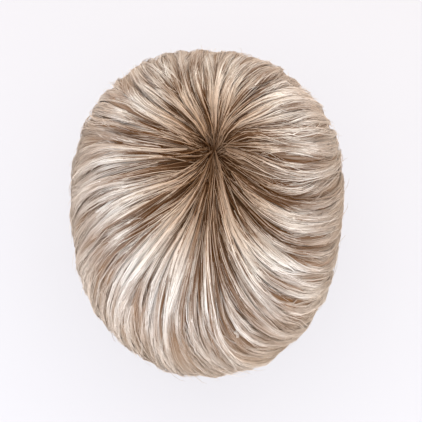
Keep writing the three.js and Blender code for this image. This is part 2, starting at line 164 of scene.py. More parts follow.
print("partings:", PARTING_COUNT, "locks:", PARTING_COUNT * LOCKS_PER_SPAN)

# %% Which partings each piece spans, and where the lower edges run
TOP_PIECES = {
    "side_left_locks": (0, 3),
    "back_left_locks": (3, 6),
    "back_right_locks": (6, 9),
    "side_right_locks": (9, 12),
    "temple_right_locks": (12, 16),
    "fringe_right_locks": (16, 20),
    "fringe_left_locks": (20, 24),
    "temple_left_locks": (24, 28),
}
# For the under tier, the angles at both ends and the number of locks
UNDER_PIECES = {
    "under_left_locks": (-UNDER_SIDE_END, 36, 7),
    "nape_locks": (36, 144, 9),
    "under_right_locks": (144, 180 + UNDER_SIDE_END, 7),
}
# Angles round the whorl, and how far the edge hangs there, in rises of the head
CAP_EDGE = np.array([
    (-90, -47, -35, -22, 0, 27, 90, 153, 180, 202, 215, 227, 270),
    (0.63, 0.78, 1.03, 0.88, 1.18, 1.37, 1.47, 1.37, 1.18, 0.88, 1.03, 0.78, 0.63),
])
UNDER_EDGE = np.array([
    (-36, -20, 0, 27, 90, 153, 180, 200, 216),
    (1.35, 1.43, 1.60, 1.75, 1.81, 1.75, 1.60, 1.43, 1.35),
])
print("pieces of hair:", len(TOP_PIECES), "above and", len(UNDER_PIECES), "below")


# %% [markdown]
# ## The dome that the hair lies on
# A head with hair is close to a superellipse from above and from the side. A point is then three numbers: an
# angle round the whorl, an angle down the dome, and the height over the head. Working in these makes a lock a
# simple strip, and bends it over the head for free.

# %% Points on the dome
HALVINGS = 30
LOWEST_DOWN = 160.0


def smoothstep(x, low, high):
    t = np.clip((x - low) / (high - low), 0, 1)
    return t * t * (3 - 2 * t)


def lerp(a, b, t):
    return a + (b - a) * t


def rim_share(x, y, half_width, half_length):
    power = np.where(y > 0, BACK_POWER, FRONT_POWER)
    return (np.abs(x / half_width) ** power + np.abs(y / half_length) ** power) ** (1 / power)


def rim_point(angle, offset):
    """Where the ray from the whorl at this angle meets the dome's widest outline."""
    dx, dy = np.cos(np.radians(angle)), np.sin(np.radians(angle))
    half_width, half_length = HEAD_HALF_WIDTH + offset, HEAD_HALF_LENGTH + offset
    inside = np.zeros(np.shape(dx + offset))
    outside = inside + 2 * (HEAD_HALF_WIDTH + HEAD_HALF_LENGTH)
    for _ in range(HALVINGS):
        middle = (inside + outside) / 2
        share = rim_share(WHORL[0] + dx * middle, WHORL[1] + dy * middle, half_width, half_length)
        inside = np.where(share < 1, middle, inside)
        outside = np.where(share < 1, outside, middle)
    return WHORL[0] + dx * inside, WHORL[1] + dy * inside


def dome_point(angle, down, offset):
    """The point at these two angles, this high over the head. Arrays give arrays of points."""
    angle, down, offset = np.broadcast_arrays(angle, down, offset)
    rim_x, rim_y = rim_point(angle, offset)
    share = np.sin(np.radians(np.minimum(down, 90)))
    x, y = lerp(WHORL[0], rim_x, share), lerp(WHORL[1], rim_y, share)
    out = np.minimum(1, rim_share(x, y, HEAD_HALF_WIDTH + offset, HEAD_HALF_LENGTH + offset))
    z = -HEAD_RISE + (HEAD_RISE + offset) * (1 - out**RISE_POWER) ** (1 / RISE_POWER)
    sunk = np.sin(np.radians(np.maximum(down - 90, 0)))
    drawn_in = np.sqrt(1 - sunk * sunk)
    below = down > 90
    x = np.where(below, rim_x * drawn_in, x)
    y = np.where(below, rim_y * drawn_in, y)
    z = np.where(below, -HEAD_RISE - LOWER_RISE * sunk, z)
    return np.stack([x, y, z], axis=-1)


def down_at_edge(edge, angle, lift=0.0):
    """How far down the dome the head's surface is where this edge runs, or this much above it."""
    drop = HEAD_RISE * np.interp(angle, *edge) - lift
    low, high = np.zeros(np.shape(drop + 0 * angle)), np.full(np.shape(drop + 0 * angle), LOWEST_DOWN)
    for _ in range(HALVINGS):
        middle = (low + high) / 2
        above = dome_point(angle, middle, 0.0)[..., 2] > -drop
        low, high = np.where(above, middle, low), np.where(above, high, middle)
    return low


print("back of the rim:", dome_point(90.0, 90.0, HAIR_LOFT).round(4))


# %% [markdown]
# ## Routes and lock shapes
# A parting's route is a smooth curve through the angles in its row, and the table is read between rows too, so
# a strand can start anywhere. Each lock has a round back, a furrow on both sides and a pointed tip. A slow sine
# of the lock's number gives each its own height, relief and length, as no two locks of a cut wig are alike.

# %% Routes
def read_parting(p, name, turn=0.0):
    """A column of the table at parting place p, between rows too. Turn is what one round adds to it."""
    whole = np.floor(p).astype(int)

    def value(k):
        return PARTINGS[name][k % PARTING_COUNT] + turn * (k // PARTING_COUNT)

    return lerp(value(whole), value(whole + 1), p - whole)


def route_angle(p, down):
    """The angle round the whorl of the route at parting place p, this far down the dome."""
    p, down = np.broadcast_arrays(p, down)
    angles = [read_parting(p, name, 360.0) for name in STATION_COLUMNS]
    angles = np.stack([*angles, angles[-1] + TIP_DRIFT])
    last = len(STATIONS) - 1
    x = np.clip(down, STATIONS[0], STATIONS[-1])
    i = np.clip(np.searchsorted(STATIONS, x, side="right") - 1, 0, last - 1)
    beside = [(min(k + 1, last), max(k - 1, 0)) for k in range(last + 1)]
    slopes = np.stack([(angles[b] - angles[a]) / (STATIONS[b] - STATIONS[a]) for b, a in beside])

    def pick(table, k):
        return np.take_along_axis(table, k[None], axis=0)[0]

    span = STATIONS[i + 1] - STATIONS[i]
    t = (x - STATIONS[i]) / span
    return (
        (2 * t**3 - 3 * t**2 + 1) * pick(angles, i)
        + (t**3 - 2 * t**2 + t) * span * pick(slopes, i)
        + (3 * t**2 - 2 * t**3) * pick(angles, i + 1)
        + (t**3 - t**2) * span * pick(slopes, i + 1)
    )


print("the first parting's angles:", route_angle(0.0, STATIONS).round(1).tolist())

# %% Backs, furrows and what differs from lock to lock
BACK_ROUNDNESS = 0.8
RIDGE_PACE, HEIGHT_PACE, LENGTH_PACE = 1.7, 2.4, 2.9


def lock_back(place):
    """0 in the furrow between two locks and 1 on a lock's back."""
    return np.sin(np.pi * (place - np.floor(place))) ** BACK_ROUNDNESS


def lock_sway(lock, pace):
    return np.sin(lock * pace)


print("halfway up a lock's side:", lock_back(0.25).round(2))

# %% Surfaces of the top tier
# How the hair's depth and the locks' relief change along it
ALONG = np.array([0, 0.12, 0.3, 0.5, 0.66, 1])
LOFT_ALONG = np.array([0.42, 0.7, 0.94, 1, 1, 1])
RELIEF_ALONG = np.array([0.35, 0.7, 1, 0.9, 0.35, 0.3])
FULL_FROM, FULL_AT = 0.35, 0.75
DEEPEST_SINE = 0.95


def under_room(angle, down):
    """How far the top tier stands off the cap where the under tier lies below it."""
    beside = np.abs((angle + 90) % 360 - 180)
    reach = 90 + UNDER_SIDE_END + UNDER_SPARE
    fade = 1 - smoothstep(beside, reach, reach + UNDER_FADE)
    return fade * (UNDER_DEPTH + SEAT_GAP) * smoothstep(down, UNDER_RISE_FROM, UNDER_RISE_TO)


def top_end(p):
    """How far down the dome the hair at parting place p ends."""
    place = p * LOCKS_PER_SPAN
    back = lock_back(place)
    sway = TIP_SWAY * lock_sway(np.floor(place), LENGTH_PACE) * back
    drop = HEAD_RISE * read_parting(p, "drop") + sway - TIP_NOTCH * (1 - back)
    return 90 + np.degrees(np.arcsin(np.minimum(DEEPEST_SINE, (drop - HEAD_RISE) / LOWER_RISE)))


def along_at(p, down):
    """The share of its length that the hair at p has run, this far down the dome."""
    return np.clip((down - ROOT_ANGLE) / (top_end(p) - ROOT_ANGLE), 0, 1)


def top_inside(p, along, angle, down):
    on_cap = SEAT + under_room(angle, down)
    at_tip = np.maximum(on_cap, HAIR_LOFT * read_parting(p, "tip_loft") - TIP_WALL)
    return lerp(on_cap, at_tip, smoothstep(along, TAPER_FROM, 1))


def top_outside(p, along, angle, down):
    place = p * LOCKS_PER_SPAN
    lock, back = np.floor(place), lock_back(place)
    full = lerp(1, read_parting(p, "full"), smoothstep(along, FULL_FROM, FULL_AT))
    loft = np.interp(along, ALONG, LOFT_ALONG) * full
    relief = np.interp(along, ALONG, RELIEF_ALONG)
    taper = lerp(1, read_parting(p, "tip_loft") / full, smoothstep(along, TAPER_FROM, 1))
    stagger = LOCK_STAGGER * (lock_sway(lock, HEIGHT_PACE) * back - 1) * relief
    dip = RIDGE * np.minimum(0, read_parting(p, "lift")) * relief
    furrow = RIDGE * (1 + RIDGE_SWAY * lock_sway(lock, RIDGE_PACE)) * relief * (1 - back)
    outside = HAIR_LOFT * loft * taper + stagger + dip - furrow
    return np.maximum(outside, top_inside(p, along, angle, down) + LEAST_WALL)


both_sides = dome_point(route_angle(np.array([0.5, 1.0]), 88.0), 88.0, HAIR_LOFT)
print("a lock's width at the rim, mm:", round(np.linalg.norm(both_sides[0] - both_sides[1]) / MM, 1))

# %% Surfaces of the under tier
UNDER_THIN_FROM, UNDER_TUCK_FROM = 0.45, 0.7
UNDER_RIDGE_FROM, UNDER_RIDGE_AT = 0.1, 0.5


def under_end(angle, place):
    return down_at_edge(UNDER_EDGE, angle, lift=UNDER_NOTCH * (1 - lock_back(place)))


def under_inside(along):
    return lerp(SEAT, UNDER_TIP_LOFT - LEAST_WALL, smoothstep(along, UNDER_TUCK_FROM, 1))


def under_outside(along, down, back):
    full = SEAT + UNDER_DEPTH * smoothstep(down, UNDER_RISE_FROM, UNDER_RISE_TO)
    thinned = lerp(full, UNDER_TIP_LOFT, smoothstep(along, UNDER_THIN_FROM, 1))
    furrow = UNDER_RIDGE * smoothstep(along, UNDER_RIDGE_FROM, UNDER_RIDGE_AT) * (1 - back)
    return np.maximum(thinned - furrow, under_inside(along) + LEAST_WALL)


print("the nape's hair ends this far down:", under_end(90.0, 0.5).round(1), "degrees")


# %% [markdown]
# ## Shaders as expressions
# A shader is easier to read as a formula than as a list of links. This small class holds one output socket, and
# adding or multiplying two of them makes the Math node. `Nodes.add` makes any other node. The Geometry Nodes
# tree for the strands uses it too.

# %% A socket that can be calculated with
class Value:
    def __init__(self, nodes, socket):
        self.nodes, self.socket = nodes, socket

    def math(self, operation, *others, clamp=False):
        inputs = dict(enumerate((self, *others)))
        return self.nodes.add("ShaderNodeMath", inputs, operation=operation, use_clamp=clamp)

    def __add__(self, other):
        return self.math("ADD", other)

    def __mul__(self, other):
        return self.math("MULTIPLY", other)

    def __sub__(self, other):
        return self.math("SUBTRACT", other)

    def __rsub__(self, other):
        return (self * -1.0) + other

    def __pow__(self, other):
        return self.math("POWER", other)

    __radd__, __rmul__ = __add__, __mul__

    def clamped(self):
        return self.math("ADD", 0.0, clamp=True)


class Nodes:
    def __init__(self, tree):
        self.tree = tree

    def add(self, kind, inputs=None, out=0, stops=None, **settings):
        """A node of any kind. Its settings are set first, then the values or links of its sockets."""
        node = self.tree.nodes.new(kind)
        for name, value in settings.items():
            setattr(node, name, value)
        if stops:
            ramp = node.color_ramp
            while len(ramp.elements) < len(stops):
                ramp.elements.new(1.0)
            for element, (position, colour) in zip(ramp.elements, stops):
                element.position, element.color = position, (*colour, 1.0)
        for key, value in (inputs or {}).items():
            socket = self.find(node.inputs, key)
            if isinstance(value, Value):
                self.tree.links.new(value.socket, socket)
            else:
                socket.default_value = value
        return Value(self, self.find(node.outputs, out))

    @staticmethod
    def find(sockets, key):
        """A socket by its number, or by its identifier, or by its name."""
        return next((s for s in sockets if s.identifier == key), None) or sockets[key]

    def mix(self, factor, a, b):
        inputs = {"Factor_Float": factor, "A_Color": a, "B_Color": b}
        return self.add("ShaderNodeMix", inputs, "Result_Color", data_type="RGBA")

    def attribute(self, name, out="Fac"):
        return self.add("ShaderNodeAttribute", out=out, attribute_name=name)

    def stretched(self, place, scale):
        return self.add("ShaderNodeMapping", {"Vector": place, "Scale": scale}, "Vector")

    def noise(self, place, scale=1.0):
        return self.add("ShaderNodeTexNoise", {"Vector": place, "Scale": scale, "Detail": 3.0}, "Fac")

    def bump(self, height, distance, strength):
        inputs = {"Height": height, "Distance": distance, "Strength": strength}
        return self.add("ShaderNodeBump", inputs, "Normal")


print("operators:", [name for name in vars(Value) if name.startswith("__") and name.endswith(("add__", "mul__"))])


# %% A material to fill
def linear(red, green, blue):
    """A colour as it looks on a screen, from 0 to 255, as the linear values that shaders use."""
    values = np.array([red, green, blue]) / 255
    return tuple(np.where(values <= 0.04045, values / 12.92, ((values + 0.055) / 1.055) ** 2.4))


def new_material(name):
    """A material with one shader, and a function that gives one of its sockets a value or a link."""
    material = bpy.data.materials.new(name)
    material.use_nodes = True
    nodes = Nodes(material.node_tree)
    shader = material.node_tree.nodes["Principled BSDF"]

    def feed(socket, value):
        if isinstance(value, Value):
            material.node_tree.links.new(value.socket, shader.inputs[socket])
        else:
            shader.inputs[socket].default_value = value

    return material, nodes, feed


print("middle grey on a screen, as a shader's value:", round(linear(128, 128, 128)[0], 3))

# %% [markdown]
# ## The colour of the hair
# The photo shows a rooted colour: dark brown at the whorl, then a warm beige brown, and from half way out a pale
# ash blond with silver highlights and a few brown lowlights. On a real wig that is how each fibre is dyed, but
# the near-white band half way out is also a painted highlight, the ring of sheen on the dome. So there are two
# ramps from root to rim, for the darkest and the palest fibre, and a fibre's tone mixes them. The middle tones are
# a little richer in colour than a plain mix. The attributes `crown`, `shade` and `strand_tint` carry the place on
# the dome, the tone of the streak with painted shade laid into it, and the strand's own tone.

# %% Colours from root to rim
# By crown, which is 0 at the whorl and 1 at the rim
DARK_FIBRES = (
    (0.0, linear(56, 29, 8)),
    (0.13, linear(78, 45, 16)),
    (0.27, linear(100, 62, 29)),
    (0.42, linear(114, 76, 42)),
    (0.6, linear(140, 102, 66)),
    (0.85, linear(162, 142, 124)),
    (1.0, linear(160, 142, 126)),
)
# The palest fibres peak near white half way out and fall again towards the rim: partly ash-blond dye, partly a
# painted highlight ring.
PALE_FIBRES_AND_SHEEN = (
    (0.0, linear(84, 58, 38)),
    (0.13, linear(180, 150, 126)),
    (0.27, linear(222, 202, 185)),
    (0.42, linear(243, 236, 230)),
    (0.55, linear(251, 248, 246)),
    (0.85, linear(239, 229, 220)),
    (1.0, linear(230, 222, 215)),
)
PALE_REACH = 0.08  # how much further out a pale fibre's colour is read
MIDDLE_RICHNESS = 0.7
# Painted shade: the colour that the masses and the under strands are mixed towards.
SHADE_BLACK = (0.0, 0.0, 0.0, 1)


def hair_colour(nodes, crown, tone, painted_shade):
    """The fibre's colour from its place and tone, mixed towards black by the last argument as painted shade."""
    reach = crown + (tone - 0.5) * PALE_REACH
    dark = nodes.add("ShaderNodeValToRGB", {"Fac": reach}, "Color", stops=DARK_FIBRES)
    light = nodes.add("ShaderNodeValToRGB", {"Fac": reach}, "Color", stops=PALE_FIBRES_AND_SHEEN)
    richer = (tone - tone * tone) * MIDDLE_RICHNESS + 1.0
    mixed = {"Saturation": richer, "Color": nodes.mix(tone, dark, light)}
    colour = nodes.add("ShaderNodeHueSaturation", mixed, "Color")
    return nodes.mix(painted_shade, colour, SHADE_BLACK)


print("stops from root to rim:", len(DARK_FIBRES), "dark and", len(PALE_FIBRES_AND_SHEEN), "light")

# %% Hair materials
TONE_SPREAD = {"From Min": 0.15, "From Max": 0.65, "To Min": 3.0, "To Max": 1.1}
OWN_TONE = 0.7  # how much of its tone a strand has for itself at the whorl
STRAND_SHEEN = {"Specular IOR Level": 0.12, "Specular Tint": (1.0, 0.8, 0.64, 1)}
STREAK_STRETCH, GRAIN_STRETCH = (14.0, 3.0, 1.0), (60.0, 4.0, 1.0)
# The masses read mostly the dark ramp, which with the mix towards black makes them painted shade between the
# strands.
MASS_TONE, MASS_STREAK, MASS_GRAIN = 0.13, 0.7, 1.2


def strand_material(name, painted_shade=0.0, roughness=0.34):
    material, nodes, feed = new_material(name)
    crown, shade, tint = (nodes.attribute(n) for n in ("crown", "shade", "strand_tint"))
    spread = {"Value": crown, **TONE_SPREAD}
    contrast = nodes.add("ShaderNodeMapRange", spread, "Result", interpolation_type="SMOOTHSTEP")
    own = OWN_TONE - crown * OWN_TONE
    tone = ((lerp(shade, tint, own) - 0.5) * contrast + 0.5).clamped()
    feed("Base Color", hair_colour(nodes, crown, tone, painted_shade))
    feed("Roughness", tint * 0.16 + roughness)
    for socket, value in STRAND_SHEEN.items():
        feed(socket, value)
    return material


def mass_material(name, painted_shade):
    """The mass under the strands shows only between them, so it is painted darker, as the shade between them, with
    a grain that runs with them.
    """
    material, nodes, feed = new_material(name)
    flow = nodes.attribute("flow", "Vector")
    streak = nodes.noise(nodes.stretched(flow, STREAK_STRETCH))
    grain = nodes.noise(nodes.stretched(flow, GRAIN_STRETCH))
    tone = ((streak - 0.5) * MASS_STREAK + (grain - 0.5) * MASS_GRAIN + MASS_TONE).clamped()
    feed("Base Color", hair_colour(nodes, nodes.attribute("crown"), tone, painted_shade))
    feed("Roughness", grain * 0.2 + 0.45)
    feed("Specular IOR Level", 0.1)
    feed("Normal", nodes.bump(grain, distance=0.6 * MM, strength=0.8))
    return material


hair_strands = strand_material("hair_strands")
root_strands = strand_material("root_strands", roughness=0.4)
# The under strands and both masses are mixed towards black: painted shade under the top tier and between the
# strands.
under_strands = strand_material("under_strands", painted_shade=0.14)
hair_mass = mass_material("hair_mass", painted_shade=0.25)
under_mass = mass_material("under_mass", painted_shade=0.38)
print("hair materials:", [m.name for m in bpy.data.materials if "strands" in m.name or "mass" in m.name])


# %% [markdown]
# ## The masses
# Fourteen thousand strands can't fill a wig, whose real hairs are many times that. So each group of locks has a
# soft body just under its strands, with the same backs, furrows and points as the solid it stands for. It is a
# strip of the dome: one grid of points outside, one inside, and walls that close it. The mound under the whorl
# and the cap go all the way round instead, so they share one helper too.

# %% Meshes with attributes
def add_attributes(mesh, attributes):
    """Puts values on the mesh's points. Three for each point make a vector, and one makes a number."""
    for label, values in attributes.items():
        values = np.asarray(values, np.float32).ravel()
        vector = len(values) == 3 * len(mesh.vertices)
        layer = mesh.attributes.new(label, "FLOAT_VECTOR" if vector else "FLOAT", "POINT")
        layer.data.foreach_set("vector" if vector else "value", values)


def add_object(name, mesh):
    made = bpy.data.objects.new(name, mesh)
    bpy.context.scene.collection.objects.link(made)
    return made


def finish_piece(piece, node):
    """Hangs the piece under the root body and hides the CAD node that it stands for."""
    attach(piece, "root")
    if node:
        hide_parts(node)
    piece.data.update()
    return piece


def triangles(*pieces):
    for piece in pieces:
        piece.data.calc_loop_triangles()
    return sum(len(piece.data.loop_triangles) for piece in pieces)


# %% Closed shells between two grids of points
def strip_faces(columns, rows):
    """The faces of a closed strip whose outer grid comes first, then the inner one. Both are columns x rows."""
    outer, inner = np.arange(2 * columns * rows).reshape(2, columns, rows)

    def quads(a, flip):
        a, b, c, d = a[:-1, :-1], a[:-1, 1:], a[1:, 1:], a[1:, :-1]
        return np.stack([a, d, c, b] if flip else [a, b, c, d], axis=-1).reshape(-1, 4)

    def join(a, b, flip):
        order = [a[:-1], b[:-1], b[1:], a[1:]]
        return np.stack(order[::-1] if flip else order, axis=-1)

    ends = [join(outer[0], inner[0], False), join(outer[-1], inner[-1], True)]
    sides = [join(outer[:, 0], inner[:, 0], True), join(outer[:, -1], inner[:, -1], False)]
    return np.concatenate([quads(outer, False), quads(inner, True), *ends, *sides]).tolist()


def ring_faces(columns, rows):
    """The same for a shell that goes all the way round. One many-sided face closes each grid at the whorl."""
    index = np.arange(2 * columns * rows).reshape(2, columns, rows)
    (outer, inner), (outer_next, inner_next) = index, np.roll(index, -1, axis=1)
    quads = [
        np.stack([outer[:, :-1], outer[:, 1:], outer_next[:, 1:], outer_next[:, :-1]], -1).reshape(-1, 4),
        np.stack([inner[:, :-1], inner_next[:, :-1], inner_next[:, 1:], inner[:, 1:]], -1).reshape(-1, 4),
        np.stack([outer[:, -1], inner[:, -1], inner_next[:, -1], outer_next[:, -1]], -1),
    ]
    return np.concatenate(quads).tolist() + [outer[:, 0].tolist(), inner[::-1, 0].tolist()]


def shell(name, faces, material, angle, down, heights, flow_round, **fields):
    """A closed shell at two heights over the dome, with the attributes that its material reads."""
    points = np.stack([dome_point(angle, down, height) for height in heights])
    shape = points.shape[:-1]
    flow = np.stack([np.broadcast_to(values, shape) for values in (flow_round, down / 90, 0.0)], axis=-1)
    mesh = bpy.data.meshes.new(name)
    mesh.from_pydata(points.reshape(-1, 3).tolist(), [], faces)
    add_attributes(mesh, {"flow": flow, **{label: np.broadcast_to(v, shape) for label, v in fields.items()}})
    mesh.polygons.foreach_set("use_smooth", [True] * len(mesh.polygons))
    mesh.materials.append(material)
    return add_object(name, mesh)


print("faces of the smallest strip and ring:", len(strip_faces(2, 2)), len(ring_faces(3, 2)))

# %% The top tier's masses
COLUMNS_PER_LOCK = 7
MASS_ROWS = 30
MASS_EDGE = 0.012  # the seam left between two pieces, in spans
MASS_SINK = 1.5 * MM
MASS_LEAST = 0.8 * MM
MASS_SHORT, MASS_RAGGED, RAGGED_PACE = 0.945, 0.02, 61


def top_mass(node, start, stop):
    columns = (stop - start) * LOCKS_PER_SPAN * COLUMNS_PER_LOCK + 1
    p = np.linspace(start + MASS_EDGE, stop - MASS_EDGE, columns)[:, None]
    share = np.linspace(0, 1, MASS_ROWS)[None, :] * (MASS_SHORT + MASS_RAGGED * np.sin(p * RAGGED_PACE))
    down = lerp(ROOT_ANGLE, top_end(p), share)
    angle = route_angle(p, down)
    inside = top_inside(p, share, angle, down)
    outside = np.maximum(top_outside(p, share, angle, down) - MASS_SINK, inside + MASS_LEAST)
    name, faces = node.replace("_locks", "_mass"), strip_faces(columns, MASS_ROWS)
    piece = shell(name, faces, hair_mass, angle, down, (outside, inside), flow_round=p, crown=down / 90)
    return finish_piece(piece, node)


top_masses = [top_mass(node, *span) for node, span in TOP_PIECES.items()]
print("top masses:", triangles(*top_masses), "triangles")

# %% The under tier's masses
UNDER_MASS_ROWS = 22
UNDER_EDGE_GAP = 0.03
UNDER_SINK = 0.8 * MM
UNDER_SHORT, UNDER_RAGGED, UNDER_RAGGED_PACE = 0.91, 0.03, 31
UNDER_FLOW = 12  # degrees to a span, as far as the grain is concerned


def under_mass_piece(node, start, stop, locks):
    columns = locks * COLUMNS_PER_LOCK + 1
    place = np.linspace(UNDER_EDGE_GAP, locks - UNDER_EDGE_GAP, columns)[:, None]
    angle = start + (stop - start) * place / locks
    ragged = UNDER_SHORT + UNDER_RAGGED * np.sin(place * UNDER_RAGGED_PACE)
    share = np.linspace(0, 1, UNDER_MASS_ROWS)[None, :] * ragged
    down = lerp(UNDER_START, under_end(angle, place), share)
    inside = under_inside(share)
    outside = np.maximum(under_outside(share, down, lock_back(place)) - UNDER_SINK, inside + MASS_LEAST)
    name, faces = node.replace("_locks", "_mass"), strip_faces(columns, UNDER_MASS_ROWS)
    flow_round = angle / UNDER_FLOW
    piece = shell(name, faces, under_mass, angle, down, (outside, inside), flow_round, crown=down / 90)
    return finish_piece(piece, node)


under_masses = [under_mass_piece(node, *span) for node, span in UNDER_PIECES.items()]
print("under masses:", triangles(*under_masses), "triangles")

# %% [markdown]
# ## Growing strands with Geometry Nodes
# A strand follows its lock, with its neighbours close by and a little frizz of its own. So Python lays a few
# thousand guide lines, and one Geometry Nodes tree multiplies them. The tree copies each guide, moves each copy
# to its own place in the lock, narrows the bunch towards the tips, adds frizz from a noise, and sweeps a
# three-sided profile along it. A guide carries the directions across and out of its lock, and the lock's half
# width and depth there.

# %% The strand tree's inputs
STRAND_SOCKETS = {
    "Guides": "Geometry",
    "Hairs": "Int",
    "Radius": "Float",
    "Tip Clump": "Float",
    "Frizz": "Float",
    "Wave": "Float",
    "Seed": "Int",
    "Material": "Material",
}
strand_tree = bpy.data.node_groups.new("strands_from_guides", "GeometryNodeTree")
strand_inputs = {}
for label, kind in STRAND_SOCKETS.items():
    made = strand_tree.interface.new_socket(name=label, in_out="INPUT", socket_type="NodeSocket" + kind)
    strand_inputs[label] = made.identifier
strand_tree.interface.new_socket(name="Strands", in_out="OUTPUT", socket_type="NodeSocketGeometry")
tree = Nodes(strand_tree)
group_in = strand_tree.nodes.new("NodeGroupInput")
given = {label: Value(tree, tree.find(group_in.outputs, i)) for label, i in strand_inputs.items()}


def named(label, kind="FLOAT"):
    return tree.add("GeometryNodeInputNamedAttribute", {"Name": label}, "Attribute", data_type=kind)


def vector(operation, *values, scale=1.0):
    inputs = {**dict(enumerate(values)), "Scale": scale}
    return tree.add("ShaderNodeVectorMath", inputs, "Vector", operation=operation)


print("inputs:", list(given))

# %% Copies of each guide, each with its place in the lock
TINT_SEED, CROSSING_SEED = 11, 23  # added to the input, so that each thing drawn has its own seed
CROSSING = 3.0

curves = tree.add("GeometryNodeMeshToCurve", {"Mesh": given["Guides"]}, "Curve")
copying = {"Geometry": curves, "Amount": given["Hairs"]}
copies = tree.add("GeometryNodeDuplicateElements", copying, "Geometry", domain="SPLINE")
index = tree.add("GeometryNodeInputIndex")
strand = tree.add("GeometryNodeFieldOnDomain", {0: index}, data_type="INT", domain="CURVE")


def chance(seed_step):
    inputs = {"Min_001": 0.0, "Max_001": 1.0, "ID": strand, "Seed": given["Seed"] + seed_step}
    return tree.add("FunctionNodeRandomValue", inputs, "Value_001", data_type="FLOAT")


square = {"Min": (-1.0,) * 3, "Max": (1.0,) * 3, "ID": strand, "Seed": given["Seed"] + 0}
place = tree.add("FunctionNodeRandomValue", square, "Value", data_type="FLOAT_VECTOR")
place_x, place_y = (tree.add("ShaderNodeSeparateXYZ", {0: place}, axis) for axis in "XY")
tint = chance(TINT_SEED)
along = tree.add("GeometryNodeSplineParameter", out="Factor")
gather = 1 - given["Tip Clump"] * along * along
crossing = (along - 0.5) * (chance(CROSSING_SEED) - 0.5) * CROSSING
sideways = named("half_width") * (place_x + crossing) * gather
across = vector("SCALE", named("across", "FLOAT_VECTOR"), scale=sideways)
outward = vector("SCALE", named("outward", "FLOAT_VECTOR"), scale=named("half_depth") * place_y * gather)
print("nodes so far:", len(strand_tree.nodes))

# %% Frizz, and tubes along the copies
FRIZZ_LOOK = {"Detail": 2.0, "Roughness": 0.6}
FRIZZ_VARIETY = 9.0
FRIZZ_AT_ROOT = 0.12
TIP_THINNING = 0.72

position = tree.add("GeometryNodeInputPosition")
waving = {"Vector": position, "W": tint * FRIZZ_VARIETY, "Scale": given["Wave"], **FRIZZ_LOOK}
wave = tree.add("ShaderNodeTexNoise", waving, "Color", noise_dimensions="4D")
centred = vector("SUBTRACT", wave, (0.5, 0.5, 0.5))
frizz = vector("SCALE", centred, scale=given["Frizz"] * (along + FRIZZ_AT_ROOT) * (tint + 0.5))
offset = vector("ADD", vector("ADD", across, outward), frizz)
moved = tree.add("GeometryNodeSetPosition", {"Geometry": copies, "Offset": offset}, "Geometry")
tinting = {"Geometry": moved, "Name": "strand_tint", "Value": tint}
tinted = tree.add("GeometryNodeStoreNamedAttribute", tinting, "Geometry")

width = given["Radius"] * (1 - (along**3.0) * TIP_THINNING) * (tint * 0.5 + 0.75)
profile = tree.add("GeometryNodeCurvePrimitiveCircle", {"Resolution": 3, "Radius": 1.0}, "Curve")
sweep = {"Curve": tinted, "Profile Curve": profile, "Scale": width, "Fill Caps": True}
tubes = tree.add("GeometryNodeCurveToMesh", sweep, "Mesh")
smooth = tree.add("GeometryNodeSetShadeSmooth", {"Geometry": tubes}, "Geometry")
real = tree.add("GeometryNodeRealizeInstances", {"Geometry": smooth}, "Geometry")
painted = tree.add("GeometryNodeSetMaterial", {"Geometry": real, "Material": given["Material"]}, "Geometry")
group_out = strand_tree.nodes.new("NodeGroupOutput")
strand_tree.links.new(painted.socket, group_out.inputs[0])
print("strand tree:", len(strand_tree.nodes), "nodes")


# %% Guides become strands
def unit(vectors):
    return vectors / np.linalg.norm(vectors, axis=-1, keepdims=True)


def lay_guides(points, across, outward, half_width, half_depth, crown, shade):
    """A mesh of separate lines, one for each guide, with what the tree needs on its points."""
    count, steps = points.shape[:2]
    index = np.arange(count * steps).reshape(count, steps)
    edges = np.stack([index[:, :-1], index[:, 1:]], axis=-1).reshape(-1, 2)
    mesh = bpy.data.meshes.new("guides")
    mesh.from_pydata(points.reshape(-1, 3).tolist(), edges.tolist(), [])
    numbers = {"half_width": half_width, "half_depth": half_depth, "crown": crown, "shade": shade}
    numbers = {label: np.broadcast_to(values, (count, steps)) for label, values in numbers.items()}
    add_attributes(mesh, {"across": unit(across), "outward": unit(outward), **numbers})
    return mesh


def grow(guides, hairs, material, seed, radius=0.21 * MM, clump=0.5, frizz=0.6 * MM, wave=38.0):
    """Runs the tree on the guides and returns the plain mesh of strands."""
    holder = add_object("growing", guides)
    modifier = holder.modifiers.new("strands", "NODES")
    modifier.node_group = strand_tree
    values = {"Hairs": hairs, "Radius": radius, "Tip Clump": clump, "Frizz": frizz, "Wave": float(wave)}
    for label, value in {**values, "Seed": seed, "Material": material}.items():
        modifier[strand_inputs[label]] = value
    evaluated = holder.evaluated_get(bpy.context.evaluated_depsgraph_get())
    mesh = bpy.data.meshes.new_from_object(evaluated)
    bpy.data.objects.remove(holder)
    return mesh


def strand_piece(name, meshes, material, node):
    """One finished piece from one or more meshes of strands."""
    holders = [add_object(name, mesh) for mesh in meshes]
    piece = holders[0]
    if len(holders) > 1:
        with bpy.context.temp_override(
            active_object=piece, object=piece, selected_objects=holders, selected_editable_objects=holders
        ):
            bpy.ops.object.join()
    piece.name = piece.data.name = name
    piece.data.materials.clear()
    piece.data.materials.append(material)
    piece.data.polygons.foreach_set("material_index", [0] * len(piece.data.polygons))
    return finish_piece(piece, node)


# %% [markdown]
# ## Streaks
# The tone of dyed hair isn't random strand by strand. Pale and dark hair lies in streaks a few millimetres wide
# that follow the routes. One smooth noise over the routes gives the strands both their tone and their height, so
# the pale ones lie higher and the sunk ones are darker, which is partly painted shade. It is a sum of layers, each
# with its own number of cells round the whorl, and as the routes fan out, the layers whose cells are about a streak
# wide take over.

# %% Smooth noise over the routes
# For each seed, the cells round the whorl and the rows down the dome of its layers
STREAK_LAYERS = {1340: ((28, 7), (56, 8), (112, 9), (224, 10), (448, 10)), 726: ((14, 6), (7, 5))}
STREAK_GAIN = 1.5


